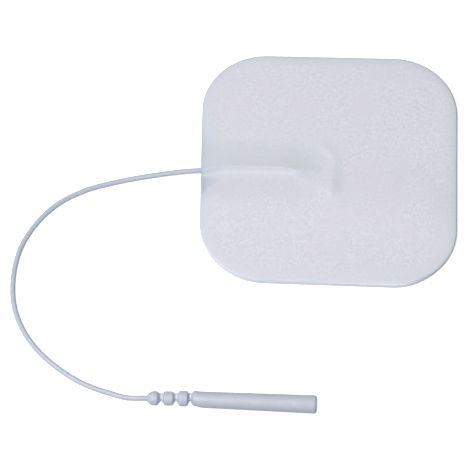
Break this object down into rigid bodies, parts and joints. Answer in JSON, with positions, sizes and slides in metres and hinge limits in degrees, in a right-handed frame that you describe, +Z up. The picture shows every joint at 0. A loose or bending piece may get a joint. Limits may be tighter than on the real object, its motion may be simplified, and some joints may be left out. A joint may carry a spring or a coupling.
{
  "type": "stimulation electrode pad",
  "caption": "Square self-adhesive stimulation pad with rounded corners, layered cloth, film and gel, and a short lead ending in a beaded plug with a pin socket.",
  "frame": {"origin": "middle of the pad's lower gel face, on the surface that the pad lies on", "axes": "+Z up, out of the cloth side; the lead leaves the pad's -X side and turns towards -Y; +Y is the far side in the picture"},
  "size_m": [0.0864, 0.0787, 0.0036],
  "materials": {
    "clear_gel": "tacky, clear, slightly milky",
    "carbon_black": "matt carbon-filled film",
    "cloth_white": "matt nonwoven cloth",
    "strand_grey": "fine carbon strands",
    "jacket_white": "smooth, slightly satin",
    "plug_white": "soft moulded, satin",
    "contact_metal": "plain, drawn"
  },
  "bodies": {
    "root": {"hydrogel": "clear_gel", "carbon_film": "carbon_black", "backing_cloth": "cloth_white", "conductor_strands": "strand_grey", "lead_wire": "jacket_white", "plug_body": "plug_white", "socket_sleeve": "contact_metal"}
  },
  "joints": []
}
